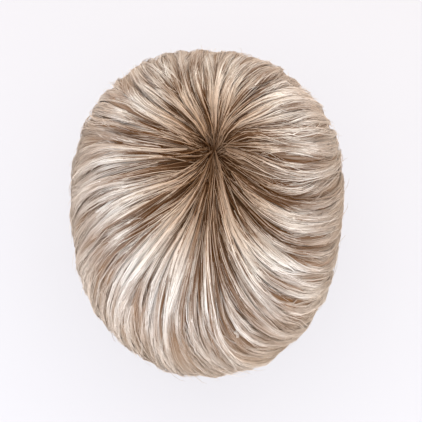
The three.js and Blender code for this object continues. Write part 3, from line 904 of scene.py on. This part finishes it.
def streak_layer(random, cells, rows):
    """Smooth noise that repeats round the whorl: this many cells round it, this many down the dome."""
    grid = random.normal(0, 1, (cells, rows + 2))

    def read(p, down):
        x, y = p * cells / PARTING_COUNT, np.clip(down / STATIONS[-1], 0, 1) * rows
        i, j = np.floor(x).astype(int), np.floor(y).astype(int)
        u, v = smoothstep(x - i, 0, 1), smoothstep(y - j, 0, 1)
        near = lerp(grid[i % cells, j], grid[(i + 1) % cells, j], u)
        far = lerp(grid[i % cells, j + 1], grid[(i + 1) % cells, j + 1], u)
        return lerp(near, far, v) * STREAK_GAIN

    return read


streak_layers = []
for seed, sizes in STREAK_LAYERS.items():
    random = np.random.default_rng(seed)
    streak_layers += [(cells, streak_layer(random, cells, rows)) for cells, rows in sizes]
print("layers of streaks, cells round the whorl:", [cells for cells, _ in streak_layers])

# %% Streaks, and where they are calmer or darker
STREAK_WIDTH = (2.4 * MM, 5.6 * MM)  # at the whorl and at the rim
STREAK_OVERLAP = 1.9
STREAK_CONTRAST = 0.9
CALM, CALMEST = 0.4, 0.25  # towards the rim everywhere, and more behind the wearer's left
CALMEST_ANGLE = 40
CALM_FROM, CALM_AT, CALM_LATER = 40, 66, 14
ROOT_LEAN = 0.18
LEAN_FROM, LEAN_TO = 6, 20


def streaks(p, down, lock_width):
    """Light and dark hair in streaks about as wide everywhere, from 0 to 1, along the routes."""
    total, weight = 0.0, 0.0
    for cells, read in streak_layers:
        width = lock_width * LOCKS_PER_SPAN * PARTING_COUNT / cells
        share = np.exp(-(np.log(width / lerp(*STREAK_WIDTH, down / 90)) ** 2) / STREAK_OVERLAP)
        total = total + share * read(p, down)
        weight = weight + share**2
    return 0.5 + 0.5 * np.tanh(STREAK_CONTRAST * total / np.sqrt(weight))


def calmed(angle, down):
    """How much the streaks still differ: less towards the rim, and last at the front."""
    ahead = np.maximum(0, -np.sin(np.radians(angle)))
    calmest = np.maximum(0, np.cos(np.radians(angle - CALMEST_ANGLE)))
    return 1 - (CALM + CALMEST * calmest) * smoothstep(down - CALM_LATER * ahead, CALM_FROM, CALM_AT)


def root_lean(angle, down):
    """Near the whorl the hair is lighter at the back and the wearer's left, and darker in front."""
    turn = np.radians(angle)
    return ROOT_LEAN * (np.maximum(0, np.cos(turn)) + np.sin(turn)) * (1 - smoothstep(down, LEAN_FROM, LEAN_TO))


print("contrast left at the back of the rim:", calmed(90.0, 90.0).round(2))

# %% [markdown]
# ## The top tier's strands
# The cut is layered, so the strands are six rows of a table. Long hair runs from the whorl to the edge. Fillers
# start part of the way down, where the long ones have fanned out. Over both lie shorter locks that end in points
# before the rim, some at the crown and some lower, and show the darker hair between them, which is darker partly
# as lowlights and partly as painted shade. Short wisps blur their edges, and a few loose strands cross the locks.

# %% Layers of the top tier
# Starts are angles down the dome, and ends are shares of the way to the tips
LAYER_COLUMNS = (
    "guides", "hairs", "start_low", "start_high", "end_low", "end_high", "sink_mm", "clump", "gather",
    "turn", "follow", "shade_low", "shade_high", "frizz_mm", "wave", "flare_mm", "length", "steps",
)
# shade_low and shade_high keep the long and filler hair below darker, partly lowlights and partly painted shade
# under the locks on top.
LAYER_ROWS = {
    "long": (7, 8, 2.0, 13.0, 0.97, 1.02, 1.1, 0.4, 0.45, 0.06, 0.8, 0.0, 0.75, 0.6, 38, 0.8, 250, 12),
    "filler": (5, 7, 22.0, 50.0, 0.93, 1.03, 0.5, 0.5, 0.5, 0.08, 0.8, 0.0, 0.85, 0.7, 45, 0.8, 250, 9),
    "layered": (4, 10, 4.0, 30.0, 0.64, 0.86, 0.0, 0.8, 0.85, 0.1, 0.75, 0.2, 1.0, 0.9, 45, -1.4, 250, 11),
    "crown": (3, 9, 2.0, 20.0, 0.40, 0.68, -0.1, 0.8, 0.85, 0.1, 0.75, 0.2, 1.0, 0.8, 50, -0.8, 250, 9),
    "wisps": (6, 8, 14.0, 56.0, 0.50, 1.02, 0.1, 0.3, 0.2, 0.3, 0.55, 0.0, 1.0, 0.9, 65, -1.2, 44, 9),
    "loose": (3, 4, 5.0, 45.0, 0.60, 1.02, -0.5, 0.1, 0.0, 0.9, 0.3, 0.2, 1.0, 1.0, 45, -0.4, 250, 9),
}
LAYERS = {name: dict(zip(LAYER_COLUMNS, row)) for name, row in LAYER_ROWS.items()}
rng = np.random.default_rng(4)
print("strands in a lock:", sum(layer["guides"] * layer["hairs"] for layer in LAYERS.values()))

# %% Where the guides run
FLOW_SWAY = 0.2
# Two waves: how strong, how many to a span, so that each repeats round the whorl, and how they slant and start
SWAYS = ((1.0, 0.5, 0.05, 0), (0.7, 0.857142857, -0.035, 2))
SWAY_FROM, SWAY_AT = 10, 45
PIECE_EDGE = 0.02
FREE_TURN = 0.5  # a layer that turns more than this may cross into the next piece
LENGTH_SPREAD = 0.022
ROOT_CROSSING = 0.22
CROSSED_FROM, CROSSED_BY = 8, 34


def swayed(p, down):
    """The parting place moved by a slow sway, the same for all hair there, so that groups crowd and part."""
    sway = sum(strong * np.sin(2 * np.pi * many * p + slant * down + start) for strong, many, slant, start in SWAYS)
    return p + FLOW_SWAY * sway * smoothstep(down, SWAY_FROM, SWAY_AT)


def spread_over(guides, locks, low, high):
    """One random number for each lock, and the same one for each guide in it."""
    return np.repeat(rng.uniform(low, high, locks), guides)[:, None]


def top_routes(start, stop, layer):
    """Each guide's parting place and distance down the dome, at even steps t of its length."""
    first, last, per_lock = start * LOCKS_PER_SPAN, stop * LOCKS_PER_SPAN, layer["guides"]
    locks = np.repeat(np.arange(first, last), per_lock)[:, None]
    count, lock_count = len(locks), last - first
    t = np.linspace(0, 1, layer["steps"])[None, :]
    within = (np.tile(np.arange(per_lock), lock_count)[:, None] + rng.uniform(0.1, 0.9, (count, 1))) / per_lock
    middle = spread_over(per_lock, lock_count, 0.3, 0.7)
    within = lerp(within, middle, layer["gather"] * t**2)
    wander = layer["turn"] * rng.uniform(-1, 1, (count, 1))
    wander = wander * np.sin(np.pi * t * rng.uniform(0.4, 1.3, (count, 1)))
    begin = rng.uniform(layer["start_low"], layer["start_high"], (count, 1))
    reach = spread_over(per_lock, lock_count, layer["end_low"], layer["end_high"])
    reach = reach + rng.normal(0, LENGTH_SPREAD, (count, 1))
    plain = (locks + within + wander) / LOCKS_PER_SPAN
    end = ROOT_ANGLE + (top_end(plain[:, -1:]) - ROOT_ANGLE) * reach
    end = np.minimum(end, begin + layer["length"] * rng.uniform(0.55, 1, (count, 1)))
    down = lerp(begin, end, t)
    p = swayed(plain, down)
    if layer["turn"] < FREE_TURN:
        p = np.clip(p, start + PIECE_EDGE, stop - PIECE_EDGE)
    crossed = rng.normal(0, ROOT_CROSSING, (count, 1)) * (1 - smoothstep(down, CROSSED_FROM, CROSSED_BY))
    return t, p + crossed, down


print("a guide's place at the rim, where its parting place is 1:", swayed(1.0, 90.0).round(3))

# %% How high the guides lie, and what the strands look like there
ROOT_SINK, ROOT_SINK_ALONG = 2.4 * MM, 0.22
WHORL_SINK = 2.0 * MM
STREAK_RELIEF = 2.4 * MM
CLEARANCE = 0.4 * MM
WHORL_LINE = np.array([-2.5, -9.0]) * MM
WHORL_LINE_FROM, WHORL_LINE_END = 2, 24.0
WHORL_SPREAD = 1.1 * MM
ROOTS_BEHIND, ROOTS_LIFT, ROOTS_LIFT_OVER = 0.26, 0.05, (5, 40)
# How much the lift column paints the dips darker, as shade, and makes the groups above 0 paler.
LIFT_TONE_AND_SHADE = 0.45
P_STEP = 0.02
BUNCH_OVERLAP, BUNCH_DEPTH = 0.8, 0.7 * MM
LEAST_HALF_WIDTH = 0.35 * MM


def crown_of(angle, down):
    """The attribute that the colour depends on. The ramps come later at the back: the dark roots reach further
    down, and so does the pale band with its painted highlight.
    """
    behind = np.maximum(0, np.sin(np.radians(angle)))
    lifted = ROOTS_LIFT * behind * (1 - smoothstep(down, *ROOTS_LIFT_OVER))
    return down / 90 * (1 - ROOTS_BEHIND * behind) - lifted


def draw_to_line(points, down, spread=0.0):
    """Moves the roots off the whorl's middle, to a short line that runs forward from it."""
    rooted = rng.uniform(-0.4, 0.6, (len(points), 1))[..., None] * WHORL_LINE
    if spread:
        rooted = rooted + rng.normal(0, spread, (len(points), 1, 2))
    points[..., :2] += rooted * (1 - smoothstep(down, WHORL_LINE_FROM, WHORL_LINE_END))[..., None]


def top_guides(start, stop, layer):
    t, p, down = top_routes(start, stop, layer)
    count, follow = len(p), layer["follow"]
    angle, along = route_angle(p, down), along_at(p, down)
    surface = top_outside(p, along, angle, down)
    after, before = (dome_point(route_angle(p + step, down), down, surface) for step in (P_STEP, -P_STEP))
    lock_width = np.linalg.norm(after - before, axis=-1) / (2 * P_STEP) / LOCKS_PER_SPAN
    streak, calm = streaks(p, down, lock_width), calmed(angle, down)

    sink = layer["sink_mm"] * MM + rng.uniform(-0.5, 0.7, (count, 1)) * MM
    flare = layer["flare_mm"] * MM * rng.uniform(0.3, 1, (count, 1)) * t**4
    sink = sink + ROOT_SINK * (1 - smoothstep(t, 0, ROOT_SINK_ALONG)) - flare
    sink = sink + WHORL_SINK * (1 - smoothstep(down, 0, ROOT_ANGLE)) - STREAK_RELIEF * (streak - 0.5) * calm
    offset = np.maximum(surface - sink, top_inside(p, along, angle, down) + CLEARANCE)
    points = dome_point(angle, down, offset)
    outward = dome_point(angle, down, offset + MM) - points
    draw_to_line(points, down, WHORL_SPREAD)

    half_width = np.maximum(lock_width / layer["guides"] * BUNCH_OVERLAP, LEAST_HALF_WIDTH)
    # The tone follows the streak that also sets the height, so the sunk hair is darker: painted shade.
    shade = follow * streak + (1 - follow) * rng.uniform(0, 1, (count, 1))
    shade = lerp(layer["shade_low"], layer["shade_high"], shade)
    # The lift column paints the dips darker, as shade, and the groups above 0 paler.
    shade = shade + LIFT_TONE_AND_SHADE * read_parting(p, "lift") + root_lean(angle, down)
    shade = np.clip(0.5 + (shade - 0.5) * calm, 0, 1)
    return lay_guides(points, after - before, outward, half_width, BUNCH_DEPTH, crown_of(angle, down), shade)


def top_strands(node, start, stop):
    meshes = []
    for number, layer in enumerate(LAYERS.values()):
        looks = {"clump": layer["clump"], "frizz": layer["frizz_mm"] * MM, "wave": layer["wave"]}
        guides = top_guides(start, stop, layer)
        meshes.append(grow(guides, layer["hairs"], hair_strands, seed=40 * start + number, **looks))
    return strand_piece(node.replace("_locks", "_strands"), meshes, hair_strands, node)


top_strand_pieces = [top_strands(node, *span) for node, span in TOP_PIECES.items()]
print("top strands, triangles:", [triangles(piece) for piece in top_strand_pieces])

# %% [markdown]
# ## The whorl
# At the crown the strands stand close and dark, and cross a little. Short guides from the middle outwards, with
# more frizz than elsewhere, give that rosette. A small mound under them closes the ring that the masses leave.

# %% Whorl roots
WHORL_GUIDES_PER_SPAN = 9
WHORL_REACH = (12.0, 24.0)
WHORL_CROSSING, WHORL_CROSSED_BY = 9, 12


def dome_frame(angle, down, offset):
    """Points on the dome, the step to one degree further round the whorl, and the step outwards."""
    points = dome_point(angle, down, offset)
    return points, dome_point(angle + 1, down, offset) - points, dome_point(angle, down, offset + MM) - points


def whorl_strands():
    count = PARTING_COUNT * WHORL_GUIDES_PER_SPAN
    p = (np.arange(count) + rng.uniform(0, 1, count))[:, None] / WHORL_GUIDES_PER_SPAN
    t = np.linspace(0, 1, 7)[None, :]
    begin = rng.uniform(0.4, 4.0, (count, 1))
    down = lerp(begin, rng.uniform(*WHORL_REACH, (count, 1)), t)
    turn = rng.normal(0, WHORL_CROSSING, (count, 1)) * (1 - smoothstep(down, 0, WHORL_CROSSED_BY))
    angle = route_angle(p, down) + turn
    sink = ROOT_SINK * (1 - smoothstep(down, 0, ROOT_ANGLE)) + rng.uniform(-0.2, 1.4, (count, 1)) * MM
    offset = top_outside(p, along_at(p, down), angle, down) - sink
    points, beside, outward = dome_frame(angle, down, offset)
    draw_to_line(points, down)
    lock_width = np.linalg.norm(beside, axis=-1) * 360 / PARTING_COUNT / LOCKS_PER_SPAN
    shade = 0.75 * streaks(p + 0 * down, down, lock_width) + rng.uniform(0, 0.25, (count, 1))
    shade = np.clip(shade + root_lean(angle, down), 0, 1)
    guides = lay_guides(points, beside, outward, 0.5 * MM, 0.4 * MM, crown_of(angle, down), shade)
    return grow(guides, 2, root_strands, seed=901, radius=0.2 * MM, clump=0.2, frizz=0.7 * MM, wave=60.0)


whorl_piece = strand_piece("crown_whorl_strands", [whorl_strands()], root_strands, "crown_whorl")
print("whorl:", triangles(whorl_piece), "triangles")

# %% The mound under the whorl
MOUND_COLUMNS, MOUND_ROWS = 56, 5
MOUND_FROM, MOUND_TO = 1.5, ROOT_ANGLE + 2.0
MOUND_SINK, MOUND_DIP = 3.4 * MM, 1.4 * MM


def whorl_mound():
    p = np.arange(MOUND_COLUMNS)[:, None] * PARTING_COUNT / MOUND_COLUMNS
    down = np.linspace(MOUND_FROM, MOUND_TO, MOUND_ROWS)[None, :]
    top = HAIR_LOFT * LOFT_ALONG[0] - MOUND_SINK - MOUND_DIP * (1 - down / ROOT_ANGLE)
    name, faces = "crown_whorl_mound", ring_faces(MOUND_COLUMNS, MOUND_ROWS)
    angle = route_angle(p, ROOT_ANGLE)
    piece = shell(name, faces, hair_mass, angle, down, (top, SEAT), flow_round=p, crown=down / 90)
    return finish_piece(piece, "crown_whorl")


print("mound:", triangles(whorl_mound()), "triangles")

# %% [markdown]
# ## The under tier's strands
# The hair below the top tier's edge hugs the sides and the nape. It is straighter, so its guides just run down.

# %% Under strands
UNDER_GUIDES, UNDER_HAIRS, UNDER_STEPS = 9, 7, 9
UNDER_START_SPREAD = 12
UNDER_FLARE = 0.9 * MM
UNDER_OVERLAP = 0.85


def under_strands_piece(node, start, stop, locks):
    count = locks * UNDER_GUIDES
    place = (np.arange(count)[:, None] + rng.uniform(0.1, 0.9, (count, 1))) / UNDER_GUIDES
    base = start + (stop - start) * place / locks
    t = np.linspace(0, 1, UNDER_STEPS)[None, :]
    end = lerp(UNDER_START, under_end(base, place), rng.uniform(0.86, 1.05, (count, 1)))
    down = lerp(rng.uniform(UNDER_START, UNDER_START + UNDER_START_SPREAD, (count, 1)), end, t)
    along = (down - UNDER_START) / (under_end(base, place) - UNDER_START)
    angle = base + rng.uniform(-2.5, 2.5, (count, 1)) * t**2
    sink = rng.uniform(-0.3, 1.0, (count, 1)) * MM - UNDER_FLARE * t**3
    offset = under_outside(np.clip(along, 0, 1), down, lock_back(place)) - sink
    points, beside, outward = dome_frame(angle, down, offset)
    half_width = np.linalg.norm(beside, axis=-1) * (stop - start) / locks / UNDER_GUIDES * UNDER_OVERLAP
    shade = rng.uniform(0, 0.85, (count, 1))
    guides = lay_guides(points, beside, outward, half_width, 0.6 * MM, down / 90, shade)
    strands = grow(guides, UNDER_HAIRS, under_strands, seed=700 + locks + int(start), clump=0.6)
    return strand_piece(node.replace("_locks", "_strands"), [strands], under_strands, node)


under_strand_pieces = [under_strands_piece(node, *span) for node, span in UNDER_PIECES.items()]
print("under strands, triangles:", [triangles(piece) for piece in under_strand_pieces])

# %% [markdown]
# ## Flyaways
# No wig has a clean outline. A few hundred single hairs leave the surface near the rim and end up to a few
# millimetres outside it.

# %% Stray hairs
STRAYS = 300
STRAY_LIFT, STRAY_SINK = 4.5 * MM, 0.8 * MM


def stray_hairs():
    p = rng.uniform(0, PARTING_COUNT, (STRAYS, 1))
    t = np.linspace(0, 1, 8)[None, :]
    begin = rng.uniform(30, 74, (STRAYS, 1))
    down = begin + rng.uniform(14, 34, (STRAYS, 1)) * t
    angle = route_angle(p, down) + rng.normal(0, 3.0, (STRAYS, 1)) * t
    lift = rng.uniform(0.2, 1.0, (STRAYS, 1)) ** 2 * STRAY_LIFT * t**1.6
    offset = top_outside(p, along_at(p, down), angle, down) - STRAY_SINK * (1 - t) + lift
    shade = rng.uniform(0.1, 0.9, (STRAYS, 1))
    guides = lay_guides(*dome_frame(angle, down, offset), 0.4 * MM, 0.3 * MM, down / 90, shade)
    return grow(guides, 1, hair_strands, seed=333, radius=0.16 * MM, frizz=2.0 * MM)


strays = strand_piece("stray_hairs", [stray_hairs()], hair_strands, None)
print("strays:", triangles(strays), "triangles")

# %% [markdown]
# ## The cap
# Under the hair is a stretch cap. From below it shows rows of weft, the sewn strips that carry the hair, on a
# thin net, and a soft binding round its edge. The wall is one closed shell, with the wefts as low ribs inside.

# %% Cap material
NET_STRETCH = (220.0, 160.0, 1.0)
NET_DARK, NET_LIGHT = linear(70, 52, 42), linear(150, 124, 102)


def cap_material():
    material, nodes, feed = new_material("cap_net")
    net = nodes.stretched(nodes.attribute("flow", "Vector"), NET_STRETCH)
    holes = nodes.add("ShaderNodeTexVoronoi", {"Vector": net, "Scale": 1.0}, "Distance", feature="F1")
    fibre = nodes.noise(net, 0.35)
    shade = (nodes.attribute("rib") * 0.5 + holes * 0.35 + fibre * 0.3).clamped()
    feed("Base Color", nodes.mix(shade, (*NET_DARK, 1), (*NET_LIGHT, 1)))
    feed("Roughness", holes * 0.2 + 0.7)
    feed("Normal", nodes.bump(holes * 0.6 + fibre * 0.4, distance=0.5 * MM, strength=0.9))
    return material


cap_net = cap_material()
print("cap material:", len(cap_net.node_tree.nodes), "nodes")

# %% Cap shell
CAP_COLUMNS, CAP_ROWS = 128, 56
WEFT_ROWS = 15
WEFT_RIB = 0.5 * MM
BINDING_FROM, BINDING_AT = 0.965, 0.98


def cap_shell():
    angle = (-90 + 360 * np.arange(CAP_COLUMNS) / CAP_COLUMNS)[:, None]
    share = np.linspace(0.02, 1, CAP_ROWS)[None, :]
    down = down_at_edge(CAP_EDGE, angle) * share
    wefts = np.maximum(0, np.sin(2 * np.pi * WEFT_ROWS * share)) ** 2
    rib = np.maximum(wefts, smoothstep(share, BINDING_FROM, BINDING_AT))
    heights = (CAP_WALL, WEFT_RIB * (1 - rib))
    faces = ring_faces(CAP_COLUMNS, CAP_ROWS)
    piece = shell("wig_cap_net", faces, cap_net, angle, down, heights, flow_round=angle / 360, rib=rib)
    return finish_piece(piece, "wig_cap")


print("cap:", triangles(cap_shell()), "triangles")

# %% [markdown]
# ## Floor, light and camera
# The photo is taken from straight above, on a white ground, with soft light from all sides. The lights at the
# sides stand low, which draws the bright ring half way down the dome, together with the highlight painted into the
# palest fibres. The one behind is warmer.

# %% Floor
FLOOR_LEVEL = -0.5
FLOOR_HALF = 4.0
PAPER = linear(189, 190, 198)


def pale_floor():
    corners = np.array([(-1, -1), (1, -1), (1, 1), (-1, 1)]) * FLOOR_HALF
    mesh = bpy.data.meshes.new("floor")
    mesh.from_pydata([(x, y, FLOOR_LEVEL) for x, y in corners.tolist()], [], [(0, 1, 2, 3)])
    material, _, feed = new_material("floor_paper")
    feed("Base Color", (*PAPER, 1))
    feed("Roughness", 0.9)
    mesh.materials.append(material)
    floor = add_object("floor", mesh)
    floor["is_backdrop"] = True
    return floor


print("floor, m below the crown:", -pale_floor().data.vertices[0].co.z)

# %% Lights
# Each light's place, width and height in metres, power in watts and colour
LIGHTS = {
    "light_left": ((-1.5, -0.15, 0.35), (1.0, 0.6), 18, (0.98, 0.99, 1.0)),
    "light_right": ((1.5, -0.15, 0.35), (1.0, 0.6), 17.5, (1.0, 0.96, 0.9)),
    "light_front": ((0.0, -1.6, 0.35), (1.2, 0.6), 25, (0.96, 0.98, 1.0)),
    "light_back": ((0.0, 1.5, 0.15), (1.4, 0.5), 16, (1.0, 0.84, 0.64)),
    "light_above": ((0.0, 0.3, 2.3), (1.2, 1.2), 27, (1.0, 1.0, 1.0)),
}
LIGHT_AIM = np.array([0, 0, -0.07])
ROOM_LIGHT = {"Color": (1.0, 0.94, 0.86, 1), "Strength": 0.5}


def softbox(name, place, size, power, colour):
    """A soft rectangular light that looks at the wig."""
    light = bpy.data.lights.new(name, "AREA")
    light.shape, light.energy, light.color = "RECTANGLE", power, colour
    light.size, light.size_y = size
    made = add_object(name, light)
    made.location = place
    made.rotation_euler = Vector((LIGHT_AIM - place).tolist()).to_track_quat("-Z", "Y").to_euler()


for name, facts in LIGHTS.items():
    softbox(name, *facts)
scene = bpy.context.scene
scene.world = bpy.data.worlds.new("white_room")
scene.world.use_nodes = True
for socket, value in ROOM_LIGHT.items():
    scene.world.node_tree.nodes["Background"].inputs[socket].default_value = value
scene.view_settings.view_transform = "Standard"
print("lights:", len(LIGHTS))

# %% Camera
PHOTO_PIXELS = 422
WIG_LENGTH, WIG_PIXELS = 240 * MM, 334
PIXEL = WIG_LENGTH / WIG_PIXELS
PHOTO_SHIFT = (3.5, 2.5)  # pixels from the wig's origin to the photo's middle
CAMERA_HEIGHT = 1.5
OUTLINE_LEVEL = 0.75  # the outline lies this far below the crown, in rises of the head
SENSOR = 36.0
camera_data = bpy.data.cameras.new("camera")
camera_data.sensor_width = SENSOR
camera_data.lens = SENSOR * (CAMERA_HEIGHT + HEAD_RISE * OUTLINE_LEVEL) / (PHOTO_PIXELS * PIXEL)
camera = add_object("camera", camera_data)
camera.location = (PHOTO_SHIFT[0] * PIXEL, PHOTO_SHIFT[1] * PIXEL, CAMERA_HEIGHT)
scene.camera = camera
print("lens:", round(camera_data.lens, 1))

# %% [markdown]
# ## The size
# The strands may stand a little proud of the CAD model. The box of all that is shown is measured and printed.

# %% Finish
visual_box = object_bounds()
sizes = {"cad": [list(corner) for corner in cad_box], "visual": [list(corner) for corner in visual_box]}
print("triangles in all:", triangles(*(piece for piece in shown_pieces() if piece.type == "MESH")))
print("visual box:", [[round(v, 4) for v in corner] for corner in visual_box])
